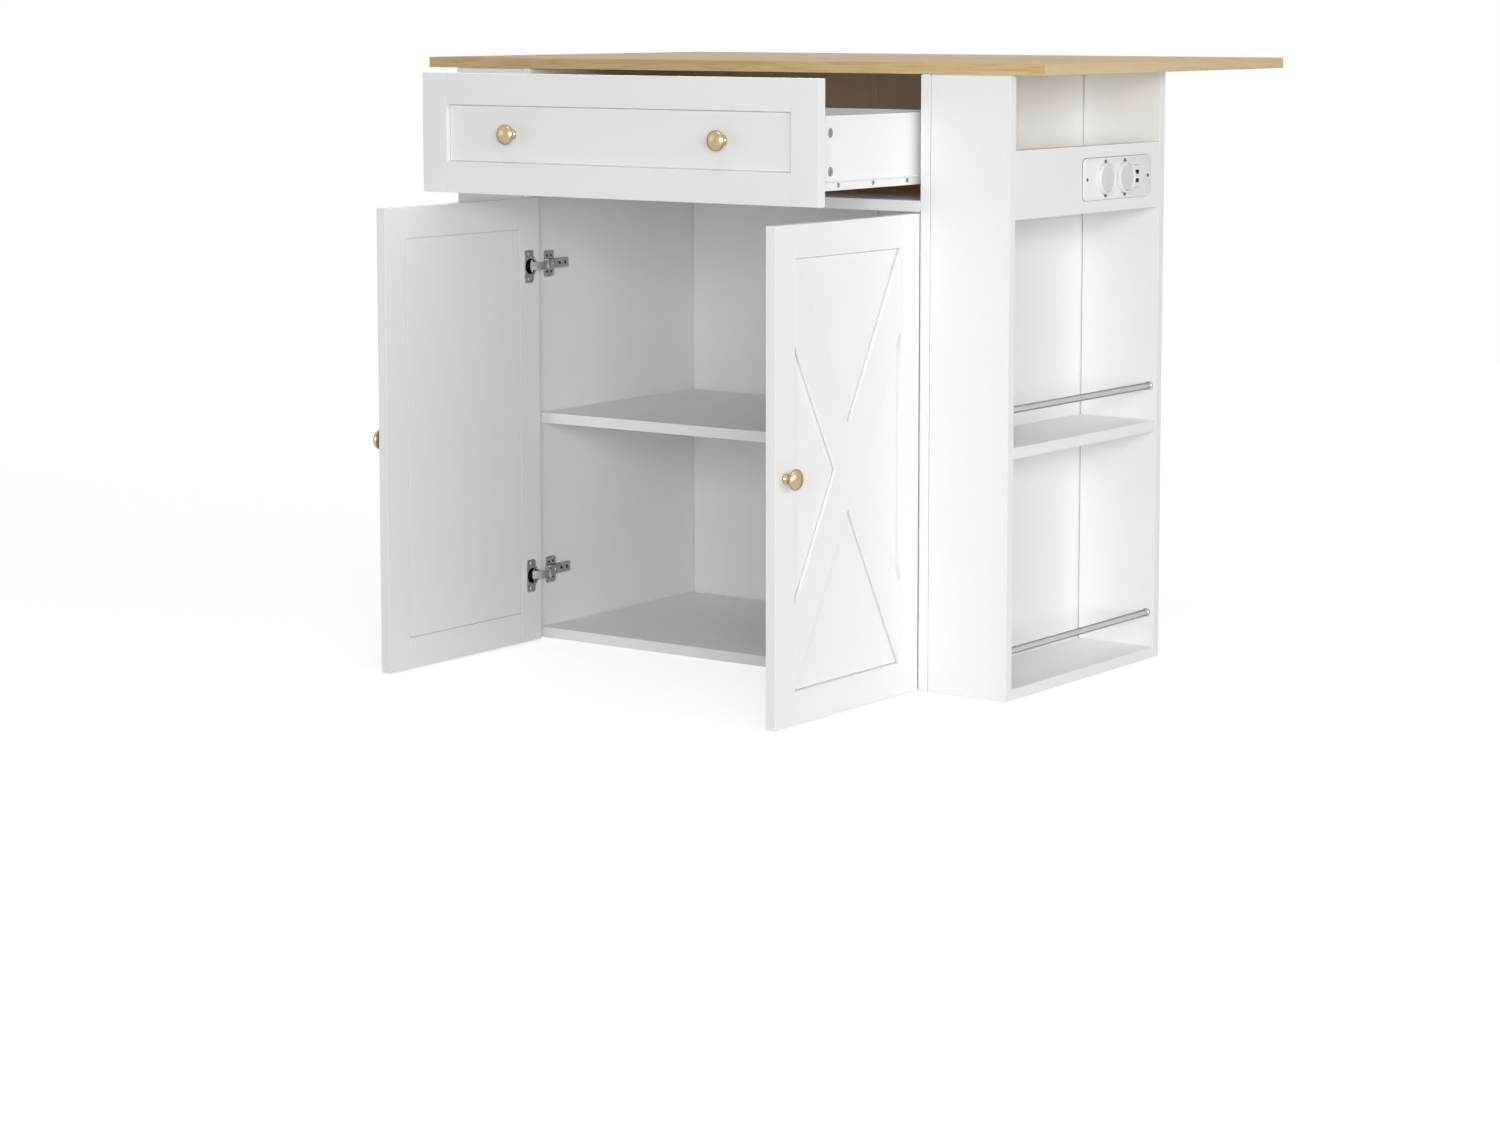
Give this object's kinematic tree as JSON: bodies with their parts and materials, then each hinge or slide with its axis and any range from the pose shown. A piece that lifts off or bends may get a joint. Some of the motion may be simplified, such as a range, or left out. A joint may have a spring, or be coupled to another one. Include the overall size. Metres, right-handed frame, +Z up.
{
  "type": "kitchen island unit",
  "caption": "White kitchen island with inset cross-braced doors, a drawer on roller runners, open end racks, a socket board, a wooden worktop and a rear drop leaf on folding brackets.",
  "frame": {"origin": "middle of the cabinet's footprint, on the floor", "axes": "+Z up; -Y is the front with doors and drawer; +X is the right-hand end with the socket board"},
  "size_m": [1.12, 1.0635, 0.9],
  "materials": {
    "white_board": "smooth white lacquer",
    "oak_top": "light natural wood, satin",
    "brass": "satin champagne brass",
    "hinge_steel": "nickel-plated pressed steel",
    "rail_steel": "polished tube",
    "white_steel": "white enamelled steel",
    "white_plastic": "satin white plastic"
  },
  "bodies": {
    "carcass": {"side_panel_left": "white_board", "side_panel_right": "white_board", "back_panel_left": "white_board", "back_panel_right": "white_board", "bottom_panel": "white_board", "middle_shelf": "white_board", "drawer_divider": "white_board", "back_joint_strip": "white_plastic", "rear_apron": "white_board", "worktop": "oak_top", "rack_fascia_right": "white_board", "socket_unit": "white_plastic", "rack_front_left": "white_board", "rack_rear_left": "white_board", "rack_bottom_left": "white_board", "rack_shelf_left": "white_board", "rack_front_right": "white_board", "rack_rear_right": "white_board", "rack_bottom_right": "white_board", "rack_shelf_right": "white_board", "rack_rail_lower_left": "rail_steel", "rack_rail_upper_left": "rail_steel", "rack_rail_lower_right": "rail_steel", "rack_rail_upper_right": "rail_steel", "leaf_bracket_wall_leg_left": "white_steel", "leaf_bracket_wall_leg_right": "white_steel", "hinge_arm_lower_left": "hinge_steel", "hinge_arm_upper_left": "hinge_steel", "hinge_arm_lower_right": "hinge_steel", "hinge_arm_upper_right": "hinge_steel", "cabinet_runner_left": "white_steel", "cabinet_runner_right": "white_steel"},
    "drawer": {"drawer_front": "white_board", "drawer_bottom": "white_board", "drawer_back": "white_board", "drawer_side_left": "white_board", "drawer_side_right": "white_board", "drawer_runner_left": "white_steel", "drawer_runner_right": "white_steel", "drawer_knob_left": "brass", "drawer_knob_right": "brass"},
    "leaf": {"drop_leaf": "oak_top", "leaf_bracket_shelf_leg_left": "white_steel", "leaf_bracket_shelf_leg_right": "white_steel"},
    "door_left": {"door_left": "white_board", "door_knob_left": "brass", "hinge_cup_lower_left": "hinge_steel", "hinge_cup_upper_left": "hinge_steel"},
    "hinge_links_left": {"hinge_link_lower_left": "hinge_steel", "hinge_link_upper_left": "hinge_steel"},
    "leaf_brace_left": {"leaf_bracket_brace_left": "white_steel"},
    "runner_roller_left": {"runner_roller_left": "white_plastic"},
    "door_right": {"door_right": "white_board", "door_knob_right": "brass", "hinge_cup_lower_right": "hinge_steel", "hinge_cup_upper_right": "hinge_steel"},
    "hinge_links_right": {"hinge_link_lower_right": "hinge_steel", "hinge_link_upper_right": "hinge_steel"},
    "leaf_brace_right": {"leaf_bracket_brace_right": "white_steel"},
    "runner_roller_right": {"runner_roller_right": "white_plastic"}
  },
  "joints": [
    {"name": "door_left_hinge", "type": "hinge", "parent": "carcass", "child": "door_left", "pos_m": [-0.356, -0.22, 0.344], "axis": [0, 0, -1], "range_deg": [-90, 5]},
    {"name": "hinge_links_left_turn", "type": "hinge", "parent": "carcass", "child": "hinge_links_left", "pos_m": [-0.356, -0.22, 0.344], "axis": [0, 0, -1], "range_deg": [-72, 5]},
    {"name": "door_right_hinge", "type": "hinge", "parent": "carcass", "child": "door_right", "pos_m": [0.356, -0.22, 0.344], "axis": [0, 0, 1], "range_deg": [-90, 5]},
    {"name": "hinge_links_right_turn", "type": "hinge", "parent": "carcass", "child": "hinge_links_right", "pos_m": [0.356, -0.22, 0.344], "axis": [0, 0, 1], "range_deg": [-72, 5]},
    {"name": "drawer_slide", "type": "slide", "parent": "carcass", "child": "drawer", "axis": [0, -1, 0], "range_m": [-0.252, 0.008]},
    {"name": "runner_roller_left_spin", "type": "hinge", "parent": "carcass", "child": "runner_roller_left", "pos_m": [-0.3515, -0.1935, 0.7312], "axis": [1, 0, 0], "range_deg": [-1720, 60]},
    {"name": "runner_roller_right_spin", "type": "hinge", "parent": "carcass", "child": "runner_roller_right", "pos_m": [0.3515, -0.1935, 0.7312], "axis": [1, 0, 0], "range_deg": [-1720, 60]},
    {"name": "leaf_fold", "type": "hinge", "parent": "carcass", "child": "leaf", "pos_m": [0, 0.223, 0.879], "axis": [-1, 0, 0], "range_deg": [0, 90]},
    {"name": "leaf_brace_left_turn", "type": "hinge", "parent": "carcass", "child": "leaf_brace_left", "pos_m": [-0.22, 0.2206, 0.794], "axis": [-1, 0, 0], "range_deg": [-1, 124.6]},
    {"name": "leaf_brace_right_turn", "type": "hinge", "parent": "carcass", "child": "leaf_brace_right", "pos_m": [0.22, 0.2206, 0.794], "axis": [-1, 0, 0], "range_deg": [-1, 124.6]}
  ],
  "couplings": [
    {"joint": "hinge_links_left_turn", "follows": "door_left_hinge", "ratio": 0.7778},
    {"joint": "runner_roller_left_spin", "follows": "drawer_slide", "rad_per_m": 117.65},
    {"joint": "leaf_brace_left_turn", "follows": "leaf_fold", "ratio": 1.3733},
    {"joint": "hinge_links_right_turn", "follows": "door_right_hinge", "ratio": 0.7778},
    {"joint": "runner_roller_right_spin", "follows": "drawer_slide", "rad_per_m": 117.65},
    {"joint": "leaf_brace_right_turn", "follows": "leaf_fold", "ratio": 1.3733}
  ]
}
